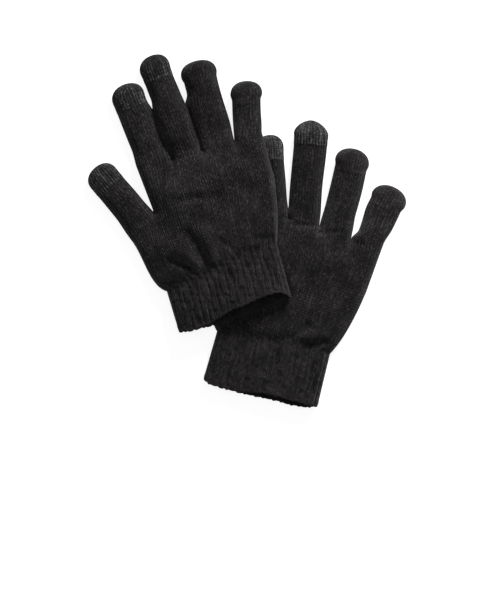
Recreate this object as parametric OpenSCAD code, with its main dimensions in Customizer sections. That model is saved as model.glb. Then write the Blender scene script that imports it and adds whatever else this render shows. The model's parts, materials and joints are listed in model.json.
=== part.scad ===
// Pair of knit touchscreen gloves lying flat, the left glove draped over the right one.
// In a glove's own frame the cuff's mouth lies on Y = 0, the fingers point along +Y and the thumb
// is on the -X side. A value with two numbers holds the left glove's size, then the right glove's.

/* [Knit] */
// Thickness of the knit wall
wall = 1.5; // [1:0.1:1.8]
// Clearance between pieces that bend on each other
joint_gap = 0.3; // [0.2:0.05:0.5]
// Reach of the rounded side edges in from the outline
edge_round = 7.5; // [5:0.5:9]
// Thickness of the hand as it lies
hand_thickness = 9.5; // [8:0.5:12]
// Thickness of the fingers as they lie
finger_thickness = 9.5; // [8:0.5:12]
// Thickness of the puffed fingertips
tip_thickness = 10; // [8:0.5:13]

/* [Cuff] */
// Width of the cuff's mouth
mouth_width = 94; // [80:1:110]
// Width of the cuff at the wrist
wrist_width = [94, 90]; // [75:1:105]
// Mouth to the wrist line, on the thumb's side
wrist_thumb_side = [31, 38]; // [25:1:55]
// Mouth to the wrist line, on the little finger's side
wrist_little_side = [44, 44]; // [25:1:55]
// Thickness of the cuff as it lies
cuff_thickness = 10; // [9:0.5:13]
// Ribs on each face of the cuff
rib_count = 20; // [8:1:24]
// Depth of the grooves between the ribs
rib_depth = 0.7; // [0.3:0.1:0.9]
// Length of the overlocked hem at the mouth
hem_length = 5; // [3:0.5:10]
// How far the hem stands out past the ribs
hem_roll = 0.5; // [0:0.1:1]
// Rounds of elastic yarn inside the cuff
elastic_rounds = 3; // [1:1:5]
// Width of a round of elastic yarn
elastic_width = 1.5; // [1:0.1:3]
// Thickness of the elastic yarn
elastic_thickness = 0.5; // [0.3:0.1:0.8]
// Clearance of the elastic yarn inside the knit
elastic_gap = 0.25; // [0.15:0.05:0.4]

/* [Hand] */
// Mouth of the cuff to the knuckle line
hand_length = [132, 141]; // [115:1:165]
// Middle line to the index finger's outer edge, on the knuckle line
index_edge = [43.4, 40.6]; // [34:0.2:48]
// Middle line to the thumb's crotch
crotch_reach = 40.6; // [34:0.2:46]
// Middle line to the hand's outer side, level with the thumb's crotch
palm_side = [59.6, 60.8]; // [52:0.2:66]
// Middle line to the outer corner of the thumb's root
thumb_reach = [64, 62.7]; // [54:0.1:72]
// Mouth to the outer corner of the thumb's root
thumb_low = [78, 82]; // [70:1:95]
// Mouth to the thumb's crotch
thumb_crotch = [94.7, 100]; // [85:0.1:110]
// Middle line to the bulge of the heel of the hand
heel_reach = 60; // [50:1:70]
// Mouth to the bulge of the heel of the hand
heel_height = [46, 50]; // [35:1:60]
// Middle line to the bulge of the hand's outer side
side_reach = 55; // [45:1:65]
// Mouth to the bulge of the hand's outer side
side_height = 62; // [50:1:75]

/* [Finger roots, width on the knuckle line] */
// Index finger
index_root = [28.6, 25.8]; // [22:0.2:32]
// Middle finger
middle_root = [25, 25]; // [22:0.2:32]
// Ring finger
ring_root = [26.9, 27.2]; // [22:0.1:32]
// Little finger
little_root = [22.5, 25.4]; // [20:0.1:28]

/* [Finger tubes, width] */
// Thumb
thumb_width = [25.6, 23.5]; // [20:0.1:28]
// Index finger
index_width = [25.2, 22.4]; // [20:0.1:28]
// Middle finger
middle_width = [24, 26.4]; // [20:0.1:28]
// Ring finger
ring_width = [26.4, 25]; // [20:0.1:28]
// Little finger
little_width = [22.7, 25.4]; // [18:0.1:27]

/* [Fingertips] */
// Length of the knitted tip
tip_length = 20; // [16:0.5:22]
// Part of the bulge that stands as a step where the tip starts
tip_step = 0.4; // [0:0.1:0.6]
// Length of the rounded end
tip_round = 11; // [8:0.5:14]

/* [Fingertips, how much wider than their fingers] */
// Thumb
thumb_bulge = 0.6; // [0:0.1:4]
// Index finger
index_bulge = 0.8; // [0:0.1:4]
// Middle finger
middle_bulge = 1.2; // [0:0.1:4]
// Ring finger
ring_bulge = 1.8; // [0:0.1:4]
// Little finger
little_bulge = 3.2; // [0:0.1:4]

/* [Finger lengths, root to tip] */
// Thumb
thumb_length = [60.8, 58]; // [52:0.1:75]
// Index finger
index_length = [67.5, 63]; // [56:0.1:85]
// Middle finger
middle_length = [84.4, 81.5]; // [72:0.1:100]
// Ring finger
ring_length = [69.6, 67]; // [58:0.1:85]
// Little finger
little_length = [45, 46.5]; // [44:0.1:62]

/* [Middle joints, distance from the root] */
// Thumb
thumb_bend = 28; // [22:1:30]
// Index finger
index_bend = 33; // [26:1:38]
// Middle finger
middle_bend = 42; // [34:1:50]
// Ring finger
ring_bend = 34; // [26:1:40]
// Little finger
little_bend = 20; // [17:0.5:21]

/* [Lay of the fingers, degrees to the thumb's side] */
// Thumb
thumb_lay = [22.6, 24]; // [10:0.1:35]
// Index finger
index_lay = [6, 17.5]; // [0:0.1:20]
// Middle finger
middle_lay = [4.8, 10]; // [-3:0.1:14]
// Ring finger
ring_lay = [-0.8, 1.5]; // [-6:0.1:6]
// Little finger
little_lay = [-12.6, -9.5]; // [-20:0.1:-6]

/* [Lay of the pair] */
// Left glove's turn
left_turn = 16; // [10:1:22]
// Right glove's turn
right_turn = -15; // [-22:1:-10]
// Left mouth from the right mouth, sideways
stack_shift = -21.2; // [-30:0.1:-10]
// Left mouth from the right mouth, along the fingers
stack_step = 64.4; // [55:0.1:75]
// Clearance between the stacked gloves
stack_gap = 0.3; // [0.2:0.1:1]
// Distance in which the upper glove comes down to the surface
drape_run = 38; // [25:1:60]
// Room kept under the upper glove beside the lower one
drape_margin = 8; // [6:1:15]

/* [Hidden] */

black_knit = "#262524";
touch_knit = "#505052";
hem_thread = "#1c1b1b";
elastic_yarn = "#0c0c0c";

left = 0;
right = 1;
thumb = 0;
index = 1;
middle = 2;
ring = 3;
little = 4;
fingers = [thumb, index, middle, ring, little];

finger_width = [thumb_width, index_width, middle_width, ring_width, little_width];
finger_bulge = [thumb_bulge, index_bulge, middle_bulge, ring_bulge, little_bulge];
finger_length = [thumb_length, index_length, middle_length, ring_length, little_length];
finger_bend = [thumb_bend, index_bend, middle_bend, ring_bend, little_bend];
finger_lay = [thumb_lay, index_lay, middle_lay, ring_lay, little_lay];
index_end = index_root - index_edge;
middle_end = index_end + middle_root;
ring_end = middle_end + ring_root;
little_end = ring_end + little_root;
knuckle_places = [-index_edge, index_end, middle_end, ring_end, little_end];

// Steps of a rounded edge, and points across a finger, a hand and a ribbed cuff
edge_steps = 4;
finger_row = 3;
finger_middle = 2;
hand_row = 11;
hand_corner = 3;
elastic_row = 13;
elastic_middle = 7;
cuff_row = 2 * rib_count - 1;
cuff_middle = rib_count;

// Shares of a piece's length at which it has a ring, with one at each round of elastic yarn
hem_steps = [0, 0.5, 1];
cuff_stretches = elastic_rounds + 1;
cuff_steps = [for (i = [0:cuff_stretches]) i / cuff_stretches];
lower_palm_steps = [0, 0.15, 0.35, 0.6, 0.82, 1];
upper_palm_steps = [0, 0.35, 0.7, 1];
finger_base_steps = [0, 0.2, 0.4, 0.65, 1];
finger_end_steps = [0, 0.5, 1];
tip_swell_steps = [0, 0.5, 1];
tip_round_angles = [0, 30, 55, 75];

// Distance in which a finger turns from the knuckle line to its own lay and narrows to its tube
root_run = 18;
// Distance in which a tip swells to its full bulge
swell_run = 4;

turn = [left_turn, right_turn];
mouth = [[stack_shift, stack_step], [0, 0]];

function smooth(x) = let(q = max(0, min(1, x))) q * q * (3 - 2 * q);
function mix(a, b, q) = a + (b - a) * q;
function curve(a, b, c, q) = mix(mix(a, b, q), mix(b, c, q), q);
function toward(angle) = [cos(angle), sin(angle)];
function unit(v) = v / norm(v);
function lying(glove, p) =
    let(q = turn[glove]) mouth[glove] + [p.x * cos(q) - p.y * sin(q), p.x * sin(q) + p.y * cos(q)];

// A ring is one cross-section: left end, a point between, right end, lowest height, thickness, edge
function oval(centre, heading, width, thickness, mid_height, edge) = [
    centre - heading * width / 2, centre, centre + heading * width / 2,
    mid_height - thickness / 2, thickness, edge
];
function inset(r, depth) = [
    r[0] + unit(r[1] - r[0]) * depth, r[1], r[2] - unit(r[2] - r[1]) * depth,
    r[3] + depth, r[4] - 2 * depth, r[5] - depth
];
function reach_left(r) = norm(r[1] - r[0]);
function reach_right(r) = norm(r[2] - r[1]);
function along(r, s) =
    let(a = reach_left(r))
    s <= a ? mix(r[0], r[1], s / a) : mix(r[1], r[2], (s - a) / reach_right(r));
function row_place(r, row, corner, i) =
    let(a = reach_left(r), b = reach_right(r), e = r[5])
    i <= corner ? mix(e, a, i / corner) : mix(a, a + b - e, (i - corner) / (row + 1 - corner));
function groove(i, depth) = i % 2 == 1 ? depth : 0;
function point(r, s, z) = let(p = along(r, s)) [p.x, p.y, z];

// Points of a ring, from its right edge over the top to its left edge and back underneath
function loop(r, row, corner, depth = 0) =
    let(w = reach_left(r) + reach_right(r), e = r[5], low = r[3], t = r[4])
    concat(
        [for (i = [0:edge_steps]) let(q = 180 * i / edge_steps - 90)
            point(r, w - e + e * cos(q), low + t / 2 * (1 + sin(q)))],
        [for (i = [row:-1:1]) point(r, row_place(r, row, corner, i), low + t - groove(i, depth))],
        [for (i = [0:edge_steps]) let(q = 180 * i / edge_steps + 90)
            point(r, e + e * cos(q), low + t / 2 * (1 + sin(q)))],
        [for (i = [1:row]) point(r, row_place(r, row, corner, i), low + groove(i, depth))]
    );

// Outline of the hand, in the glove's own frame
function knuckle_end(glove) = [little_end[glove], hand_length[glove]];
function crotch(glove) = [-crotch_reach, thumb_crotch[glove]];
function thumb_corner(glove) = [-thumb_reach[glove], thumb_low[glove]];
function wrist_left(glove) = [-wrist_width[glove] / 2, wrist_thumb_side[glove]];
function wrist_right(glove) = [wrist_width[glove] / 2, wrist_little_side[glove]];
function crotch_level(glove) = [palm_side[glove], thumb_crotch[glove]];
function heel_side(glove, q) =
    curve(wrist_left(glove), [-heel_reach, heel_height[glove]], thumb_corner(glove), q);
function outer_side(glove, q) =
    curve(wrist_right(glove), [side_reach, side_height], crotch_level(glove), q);

// Roots of the fingers, in the glove's own frame
function root_left(glove, finger) =
    finger == thumb ? thumb_corner(glove) : [knuckle_places[finger - 1][glove], hand_length[glove]];
function root_right(glove, finger) =
    finger == thumb ? crotch(glove) : [knuckle_places[finger][glove], hand_length[glove]];
function root_centre(glove, finger) = (root_left(glove, finger) + root_right(glove, finger)) / 2;
function root_heading(glove, finger) =
    let(d = root_right(glove, finger) - root_left(glove, finger)) atan2(d.y, d.x);
function root_width(glove, finger) =
    norm(root_right(glove, finger) - root_left(glove, finger)) - joint_gap;
function finger_lean(glove, finger) = finger_lay[finger][glove];
function finger_centre(glove, finger, s) =
    root_centre(glove, finger) + s * toward(finger_lean(glove, finger) + 90);
function finger_heading(glove, finger, s) =
    toward(mix(root_heading(glove, finger), finger_lean(glove, finger), smooth(s / root_run)));
function tube_width(glove, finger, s) =
    mix(root_width(glove, finger), finger_width[finger][glove], smooth(s / root_run));
function tube_ring(glove, finger, s) =
    oval(finger_centre(glove, finger, s), finger_heading(glove, finger, s),
        tube_width(glove, finger, s), finger_thickness, finger_thickness / 2, edge_round);

// Fingertip: a step, a swell to the bulge and a rounded end
function length_of(glove, finger) = finger_length[finger][glove];
function tip_start(glove, finger) = length_of(glove, finger) - tip_length;
function round_start(glove, finger) = length_of(glove, finger) - tip_round;
function tip_width(glove, finger, d) =
    finger_width[finger][glove] + mix(tip_step, finger_bulge[finger], smooth(d / swell_run));
function tip_ring(glove, finger, s, width, thickness, edge, share) =
    oval(finger_centre(glove, finger, s), finger_heading(glove, finger, s),
        width * share, thickness * share, tip_thickness / 2, edge * share);
function tip_rings(glove, finger, depth) =
    let(start = tip_start(glove, finger), bend = round_start(glove, finger),
        full = tip_width(glove, finger, tip_length))
    concat(
        [for (q = tip_swell_steps) let(d = q * swell_run)
            tip_ring(glove, finger, start + d, tip_width(glove, finger, d) - 2 * depth,
                tip_thickness - 2 * depth, edge_round - depth, 1)],
        [for (a = tip_round_angles)
            tip_ring(glove, finger, bend + (tip_round - depth) * sin(a), full - 2 * depth,
                tip_thickness - 2 * depth, edge_round - depth, cos(a))]
    );
function tip_pole(glove, finger, depth) =
    let(p = finger_centre(glove, finger, length_of(glove, finger) - depth))
    [p.x, p.y, tip_thickness / 2];

// Drape of the left glove: full height over the right glove, falling to the surface beside it
stack_height = max(hand_thickness, finger_thickness, tip_thickness) + stack_gap;
function right_side(finger) =
    let(s = round_start(right, finger))
    lying(right, finger_centre(right, finger, s)
        - finger_heading(right, finger, s) * tip_width(right, finger, tip_length) / 2);
heel_point = lying(right, heel_side(right, 0.5));
thumb_point = right_side(thumb);
index_point = right_side(index);
function outside(p, a, b) =
    let(d = unit(b - a)) (p.y - a.y) * d.x - (p.x - a.x) * d.y - drape_margin;
function soft_max(a, b, width) = (a + b + sqrt((a - b) * (a - b) + width * width)) / 2;
function lift(p) =
    stack_height * (1 - smooth(soft_max(outside(p, heel_point, thumb_point),
        outside(p, thumb_point, index_point), drape_margin) / drape_run));

// Place in the pair, before and after the pair is centred on its own box
function paired(glove, p) =
    let(q = lying(glove, p)) [q.x, q.y, p.z + (glove == left ? lift(q) : 0)];
outline = concat(
    [for (glove = [left, right]) for (finger = fingers) for (r = tip_rings(glove, finger, 0))
        for (p = loop(r, finger_row, finger_middle)) paired(glove, p)],
    [for (glove = [left, right]) for (finger = fingers) paired(glove, tip_pole(glove, finger, 0))],
    [for (glove = [left, right]) for (r = hem_rings(glove, 0))
        for (p = loop(r, cuff_row, cuff_middle)) paired(glove, p)]
);
function middle_of(axis) = let(v = [for (p = outline) p[axis]]) (min(v) + max(v)) / 2;
pair_centre = [middle_of(0), middle_of(1), 0];
function placed(glove, p) = paired(glove, p) - pair_centre;

// Rings of the cuff between the mouth and the wrist line
function cuff_span(glove, q) = [
    mix([-mouth_width / 2, 0], wrist_left(glove), q), mix([mouth_width / 2, 0], wrist_right(glove), q)
];
function cuff_ring(glove, q, shift, grow) =
    let(ends = cuff_span(glove, q), middle_point = (ends[0] + ends[1]) / 2 + [0, shift],
        heading = unit(ends[1] - ends[0]), width = norm(ends[1] - ends[0]) + 2 * grow)
    oval(middle_point, heading, width, cuff_thickness + grow, (cuff_thickness + grow) / 2,
        edge_round + grow);
function hem_share(glove) = hem_length / min(wrist_thumb_side[glove], wrist_little_side[glove]);
function hem_rings(glove, depth) = [
    for (q = hem_steps)
        let(grow = q == 0.5 ? hem_roll : hem_roll / 2)
        inset(cuff_ring(glove, q * hem_share(glove), 0, grow), depth == 0 ? 0 : depth + grow)
];

// Polyhedron between outer and inner loops, open at both ends
module tube(glove, outer, inner, row, corner, depth = 0) {
    rings = len(outer);
    n = 2 * (edge_steps + 1 + row);
    points = concat(
        [for (r = outer) for (p = loop(r, row, corner, depth)) placed(glove, p)],
        [for (r = inner) for (p = loop(r, row, corner)) placed(glove, p)]
    );
    polyhedron(points, concat(walls(rings, n, false), near_rim(rings, n), far_rim(rings, n)));
}

// Polyhedron between outer and inner loops, closed over the rounded end
module pocket(glove, outer, inner, outer_pole, inner_pole, row, corner) {
    rings = len(outer);
    n = 2 * (edge_steps + 1 + row);
    points = concat(
        [for (r = concat(outer, inner)) for (p = loop(r, row, corner)) placed(glove, p)],
        [placed(glove, outer_pole), placed(glove, inner_pole)]
    );
    polyhedron(points, concat(walls(rings, n, true), near_rim(rings, n)));
}

function quad(a, b, c, d) = [[a, b, c], [a, c, d]];
function walls(rings, n, closed) =
    let(in = rings * n, last = (rings - 1) * n)
    concat(
        [for (m = [0:rings - 2]) for (i = [0:n - 1]) let(j = (i + 1) % n, a = m * n, b = a + n)
            each quad(a + i, a + j, b + j, b + i)],
        [for (m = [0:rings - 2]) for (i = [0:n - 1]) let(j = (i + 1) % n, a = in + m * n, b = a + n)
            each quad(a + j, a + i, b + i, b + j)],
        closed ? [for (i = [0:n - 1]) let(j = (i + 1) % n) [last + i, last + j, 2 * in]] : [],
        closed ? [for (i = [0:n - 1]) let(j = (i + 1) % n) [in + last + j, in + last + i, 2 * in + 1]] : []
    );
function near_rim(rings, n) =
    let(in = rings * n)
    [for (i = [0:n - 1]) let(j = (i + 1) % n) each quad(i, in + i, in + j, j)];
function far_rim(rings, n) =
    let(in = rings * n, last = (rings - 1) * n)
    [for (i = [0:n - 1]) let(j = (i + 1) % n) each quad(last + i, last + j, in + last + j, in + last + i)];
function hollowed(rings) = [for (r = rings) inset(r, wall)];

// Sub-parts that both gloves have
module cuff_hem(glove) {
    tube(glove, hem_rings(glove, 0), hem_rings(glove, wall), cuff_row, cuff_middle);
}

module cuff_rib(glove) {
    start = hem_share(glove);
    rings = [for (q = cuff_steps)
        cuff_ring(glove, mix(start, 1, q), q == 1 ? -joint_gap / 2 : 0, 0)];
    tube(glove, rings, hollowed(rings), cuff_row, cuff_middle, rib_depth);
}

module cuff_elastic(glove) {
    start = hem_share(glove);
    for (i = [1:elastic_rounds]) {
        q = mix(start, 1, cuff_steps[i]);
        rings = [for (side = [-1, 1])
            inset(cuff_ring(glove, q, side * elastic_width / 2, 0), wall + elastic_gap)];
        inner = [for (r = rings) inset(r, elastic_thickness)];
        tube(glove, rings, inner, elastic_row, elastic_middle);
    }
}

// The lower palm's front rim bends at the crotch, along the thumb's root and then across the hand
function corner_share(glove) =
    let(a = norm(crotch(glove) - thumb_corner(glove)), b = norm(crotch_level(glove) - crotch(glove)))
    a / (a + b);
module lower_palm(glove) {
    rings = [for (q = lower_palm_steps)
        let(a = heel_side(glove, q), b = outer_side(glove, q), start = [0, q == 0 ? joint_gap / 2 : 0],
            between = mix(mix(a, b, corner_share(glove)), crotch(glove), q * q))
        [a + start, between + start, b + start, 0, hand_thickness, edge_round]];
    tube(glove, rings, hollowed(rings), hand_row, hand_corner);
}

module upper_palm(glove) {
    rings = [for (q = upper_palm_steps)
        let(a = mix(crotch(glove), root_left(glove, index), q),
            b = mix(crotch_level(glove), knuckle_end(glove), q))
        [a, mix(a, b, corner_share(glove)), b, 0, hand_thickness, edge_round]];
    tube(glove, rings, hollowed(rings), hand_row, hand_corner);
}

module finger_base(glove, finger) {
    first = joint_gap / cos(finger_lean(glove, finger) - root_heading(glove, finger));
    last = finger_bend[finger] - joint_gap / 2;
    rings = [for (q = finger_base_steps) tube_ring(glove, finger, mix(first, last, q))];
    tube(glove, rings, hollowed(rings), finger_row, finger_middle);
}

module finger_end(glove, finger) {
    first = finger_bend[finger] + joint_gap / 2;
    rings = [for (q = finger_end_steps) tube_ring(glove, finger, mix(first, tip_start(glove, finger), q))];
    tube(glove, rings, hollowed(rings), finger_row, finger_middle);
}

module finger_tip(glove, finger) {
    pocket(glove, tip_rings(glove, finger, 0), tip_rings(glove, finger, wall),
        tip_pole(glove, finger, 0), tip_pole(glove, finger, wall), finger_row, finger_middle);
}

// Left glove
module left_cuff_hem() { color(hem_thread) cuff_hem(left); }
module left_cuff_rib() { color(black_knit) cuff_rib(left); }
module left_cuff_elastic() { color(elastic_yarn) cuff_elastic(left); }
module left_lower_palm() { color(black_knit) lower_palm(left); }
module left_upper_palm() { color(black_knit) upper_palm(left); }
module left_thumb_base() { color(black_knit) finger_base(left, thumb); }
module left_thumb_end() { color(black_knit) finger_end(left, thumb); }
module left_thumb_touch_tip() { color(touch_knit) finger_tip(left, thumb); }
module left_index_base() { color(black_knit) finger_base(left, index); }
module left_index_end() { color(black_knit) finger_end(left, index); }
module left_index_touch_tip() { color(touch_knit) finger_tip(left, index); }
module left_middle_base() { color(black_knit) finger_base(left, middle); }
module left_middle_end() { color(black_knit) finger_end(left, middle); }
module left_middle_touch_tip() { color(touch_knit) finger_tip(left, middle); }
module left_ring_base() { color(black_knit) finger_base(left, ring); }
module left_ring_end() { color(black_knit) finger_end(left, ring); }
module left_ring_tip() { color(black_knit) finger_tip(left, ring); }
module left_little_base() { color(black_knit) finger_base(left, little); }
module left_little_end() { color(black_knit) finger_end(left, little); }
module left_little_tip() { color(black_knit) finger_tip(left, little); }

// Right glove
module right_cuff_hem() { color(hem_thread) cuff_hem(right); }
module right_cuff_rib() { color(black_knit) cuff_rib(right); }
module right_cuff_elastic() { color(elastic_yarn) cuff_elastic(right); }
module right_lower_palm() { color(black_knit) lower_palm(right); }
module right_upper_palm() { color(black_knit) upper_palm(right); }
module right_thumb_base() { color(black_knit) finger_base(right, thumb); }
module right_thumb_end() { color(black_knit) finger_end(right, thumb); }
module right_thumb_touch_tip() { color(touch_knit) finger_tip(right, thumb); }
module right_index_base() { color(black_knit) finger_base(right, index); }
module right_index_end() { color(black_knit) finger_end(right, index); }
module right_index_touch_tip() { color(touch_knit) finger_tip(right, index); }
module right_middle_base() { color(black_knit) finger_base(right, middle); }
module right_middle_end() { color(black_knit) finger_end(right, middle); }
module right_middle_touch_tip() { color(touch_knit) finger_tip(right, middle); }
module right_ring_base() { color(black_knit) finger_base(right, ring); }
module right_ring_end() { color(black_knit) finger_end(right, ring); }
module right_ring_tip() { color(black_knit) finger_tip(right, ring); }
module right_little_base() { color(black_knit) finger_base(right, little); }
module right_little_end() { color(black_knit) finger_end(right, little); }
module right_little_tip() { color(black_knit) finger_tip(right, little); }

left_cuff_hem();
left_cuff_rib();
left_cuff_elastic();
left_lower_palm();
left_upper_palm();
left_thumb_base();
left_thumb_end();
left_thumb_touch_tip();
left_index_base();
left_index_end();
left_index_touch_tip();
left_middle_base();
left_middle_end();
left_middle_touch_tip();
left_ring_base();
left_ring_end();
left_ring_tip();
left_little_base();
left_little_end();
left_little_tip();
right_cuff_hem();
right_cuff_rib();
right_cuff_elastic();
right_lower_palm();
right_upper_palm();
right_thumb_base();
right_thumb_end();
right_thumb_touch_tip();
right_index_base();
right_index_end();
right_index_touch_tip();
right_middle_base();
right_middle_end();
right_middle_touch_tip();
right_ring_base();
right_ring_end();
right_ring_tip();
right_little_base();
right_little_end();
right_little_tip();
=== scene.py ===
import json
import math

import bpy
import numpy as np
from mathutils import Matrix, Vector


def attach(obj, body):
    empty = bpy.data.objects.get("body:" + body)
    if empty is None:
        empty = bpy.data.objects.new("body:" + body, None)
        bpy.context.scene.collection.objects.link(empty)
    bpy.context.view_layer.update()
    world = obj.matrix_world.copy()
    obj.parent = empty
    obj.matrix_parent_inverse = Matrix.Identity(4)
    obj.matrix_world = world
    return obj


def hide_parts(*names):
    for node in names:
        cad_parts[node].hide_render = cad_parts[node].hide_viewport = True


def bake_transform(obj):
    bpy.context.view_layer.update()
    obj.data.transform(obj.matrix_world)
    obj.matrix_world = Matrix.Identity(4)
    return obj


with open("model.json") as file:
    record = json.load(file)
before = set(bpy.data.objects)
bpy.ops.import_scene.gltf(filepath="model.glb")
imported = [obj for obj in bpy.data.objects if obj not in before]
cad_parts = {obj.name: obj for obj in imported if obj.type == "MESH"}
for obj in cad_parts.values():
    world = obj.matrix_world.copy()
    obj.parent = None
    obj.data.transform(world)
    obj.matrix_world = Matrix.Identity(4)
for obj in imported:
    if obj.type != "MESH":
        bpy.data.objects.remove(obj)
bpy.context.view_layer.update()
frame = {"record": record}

# Sizes are in millimetres. In a glove's own frame the cuff's mouth lies on Y = 0, the fingers point
# along +Y and the thumb is on the -X side. A pair of values holds the left glove's, then the right's.
# In formulas a, b and p are points, q is a share from 0 to 1 and s a distance along a finger.
MM = 0.001
QUARTER_TURN, FULL_TURN = 90.0, 360.0
LEFT, RIGHT = 0, 1
SIDES = ("left", "right")
THUMB, INDEX, MIDDLE, RING, LITTLE = range(5)
FINGERS = ("thumb", "index", "middle", "ring", "little")
TOUCH_FINGERS = (THUMB, INDEX, MIDDLE)
SWING_FINGERS = (THUMB, INDEX)

# Knit and cuff
WALL = 1.5
LEAST_HOLLOW = 0.3
EDGE_ROUND = 7.5
EDGE_POINTS = 48
HAND_THICKNESS = 9.5
FINGER_THICKNESS = 9.5
TIP_THICKNESS = 10.0
CUFF_THICKNESS = 10.0
MOUTH_WIDTH = 94.0
WRIST_WIDTH = (94.0, 90.0)
WRIST_THUMB_SIDE = (31.0, 38.0)
WRIST_LITTLE_SIDE = (44.0, 44.0)
HEM_LENGTH = 5.0
HEM_ROLL = 0.2
ELASTIC_ROUNDS = 3
ELASTIC_WIDTH = 1.5
ELASTIC_THICKNESS = 0.5
ELASTIC_GAP = 0.25
ELASTIC_SIDES = 10
ELASTIC_STEP = 2

# Hand, with the points that the heel's curve is drawn towards and how far up the roots begin to part
HAND_LENGTH = (132.0, 141.0)
INDEX_EDGE = (43.8, 40.6)
CROTCH_REACH = 40.6
PALM_SIDE = (59.6, 60.3)
THUMB_REACH = (64.0, 62.7)
THUMB_LOW = (78.0, 82.0)
THUMB_CROTCH = (94.7, 100.0)
HEEL_LOW = ((-60.4, 38.8), (-55.7, 46.0))
HEEL_HIGH = ((-57.8, 62.0), (-60.9, 60.7))
SIDE_REACH = 55.0
SIDE_HEIGHT = 62.0
THUMB_PARTS = 0.5
FINGERS_PART = 0.35
ROOT_WIDTHS = ((29.0, 25.0, 26.9, 22.9), (24.8, 26.0, 27.2, 26.3))

# Fingers, from the thumb to the little finger
FINGER_WIDTH = ((25.6, 23.5), (25.6, 21.8), (24.0, 26.4), (27.0, 25.6), (23.1, 26.8))
FINGER_LENGTH = ((60.8, 58.0), (68.2, 63.0), (84.4, 81.5), (70.3, 67.0), (45.0, 46.5))
FINGER_BEND = (28.0, 33.0, 42.0, 34.0, 20.0)
FINGER_LAY = ((22.6, 24.0), (6.0, 17.5), (4.2, 10.3), (-1.3, 1.5), (-13.8, -12.6))
ROOT_RUN = 18.0
TIP_LENGTH = 20.0
TIP_BULGE = (0.6, 0.8, 1.2, 2.2, 2.5)
TIP_LEAN = ((0.0, 0.0), (0.4, 0.0), (0.3, -0.3), (-0.5, 0.0), (0.0, 0.7))
TIP_STEP = (0.4, 0.4, 0.4, 0.0, 0.0)
TIP_STEP_RUN = 1.5
TIP_ROUND = 11.0
TIP_ARC = 1.6
TIP_SHAPE = ((2.2, 2.2), (2.2, 2.2), (2.2, 1.7), (2.3, 2.1), (2.2, 2.1))

# Lay of the pair, with the left glove draped over the right one
TURN = (16.0, -15.0)
MOUTH = ((-21.2, 64.4), (0.0, 0.0))
STACK_HEIGHT = 10.3
DRAPE_RUN = 38.0
DRAPE_MARGIN = 8.0

# Where the left glove presses the right one flat, from its outline inwards
PRESS_START = -3.5
PRESS_RUN = 9.0

# Fingers that touch: glove, finger, the next one, how far from the root, and where between the two
TOUCHING = (
    (LEFT, INDEX, MIDDLE, 39.0, 0.5),
    (LEFT, MIDDLE, RING, 35.0, 0.1),
    (RIGHT, INDEX, MIDDLE, 0.0, 0.5),
)
TOUCH_RELEASE = 12.0
TOUCH_GAP = -1.2

# Finger that is slimmer near its root on the thumb's side, and where along its length
SLIM_ROOT = (RIGHT, LITTLE)
SLIM_REACH = -3.0
SLIM_RUN = (1.0, 5.0, 5.0, 24.0)

# Finger with a deeper crotch beyond it, how much deeper that is and how far round it the knit gives way
DEEP_CROTCH = (RIGHT, RING)
CROTCH_DIP = 3.2
CROTCH_DIP_RUN = 5.5

# Finger that lies up on its neighbours, how far, and where along its length
RAISED_FINGER = (LEFT, MIDDLE)
RAISE_HEIGHT = 3.0
RAISE_RUN = (0.0, 14.0, 34.0, 56.0)

# How full the fingers are
FINGER_DOME = 0.9
FINGER_PUFF = 1.6
ROOT_PUFF = 1.0
DOME_RUN = 14.0
BULGE_START = 16.0
BULGE_RUN = 5.0

# Knitting: wales of each finger's upper side, points across a wale, and distance between rows of points
FINGER_WALES = (13, 13, 13, 14, 12)
WALE_POINTS = 4
ROW = 0.75
WALE_GROOVE = (1.0, 0.4, 0.0, 0.4)
GROOVE_DEPTH = 0.3
FINGER_GROOVE_DEPTH = 0.18
TIP_GROOVE_DEPTH = 0.42
TIP_GROOVE_FADE = 2.5
TIP_BANDS = ((0.15, 0.15), (0.8, 0.6), (2.0, 0.3))
# Painted light and shade: how much lighter or darker each touch tip and each finger is drawn, for how the
# light falls on it as the pair lies
TIP_PAINTED_SHADING = ((0.0, 0.0), (-0.06, 0.05), (-0.12, 0.06))
FINGER_PAINTED_SHADING = ((-0.06, 0.0), (-0.02, -0.14), (-0.1, -0.1), (-0.16, -0.03), (-0.1, 0.12))
SIDE_FADE = 0.3
INNER_STEP = 8
TIP_INNER_SHARE = 0.55
RIB_COUNT = 20
RIB_DEPTH = 1.2
RIB_SHAPE = 0.7
RIB_WOBBLE = 0.12
RIB_WAVERS = ((3.7, 1.9), (6.1, 4.1))
RIB_FADE = 12.0
RIB_BREAKS = 0.6
RIB_BREAK_WAVES = ((1.7, 7.3), (2.9, 3.1))
HEM_ROWS = 8
HEM_STITCH_DEPTH = 0.25
HEM_STITCH_SLANT = 1.5
LIP_ROWS = 5
MOUTH_SCALLOP = 1.0
CUFF_SHIFT = (-0.5, -0.8)
THREAD_SHARE = 0.4

# Edges of each cuff's mouth, upper then under: share of the way across it and reach past the mouth line
MOUTH_EDGES = (
    (
        ((0.0, 2.0), (0.07, 3.0), (0.2, 2.9), (0.32, 0.8), (0.45, -3.0),
         (0.6, -4.4), (0.8, -7.0), (0.95, -4.6), (1.0, 0.0)),
        ((0.0, 2.0), (0.07, 3.2), (0.2, 3.7), (0.35, 4.2), (0.7, 2.6), (1.0, 0.0)),
    ),
    (
        ((0.0, 0.6), (0.06, 3.1), (0.15, 3.4), (0.32, 2.4), (0.5, -1.0), (0.8, -1.5), (1.0, -1.4)),
        ((0.0, 0.6), (0.06, 3.4), (0.15, 3.8), (0.35, 3.8),
         (0.65, 2.5), (0.82, 2.4), (0.92, 0.9), (1.0, -1.4)),
    ),
)

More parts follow.
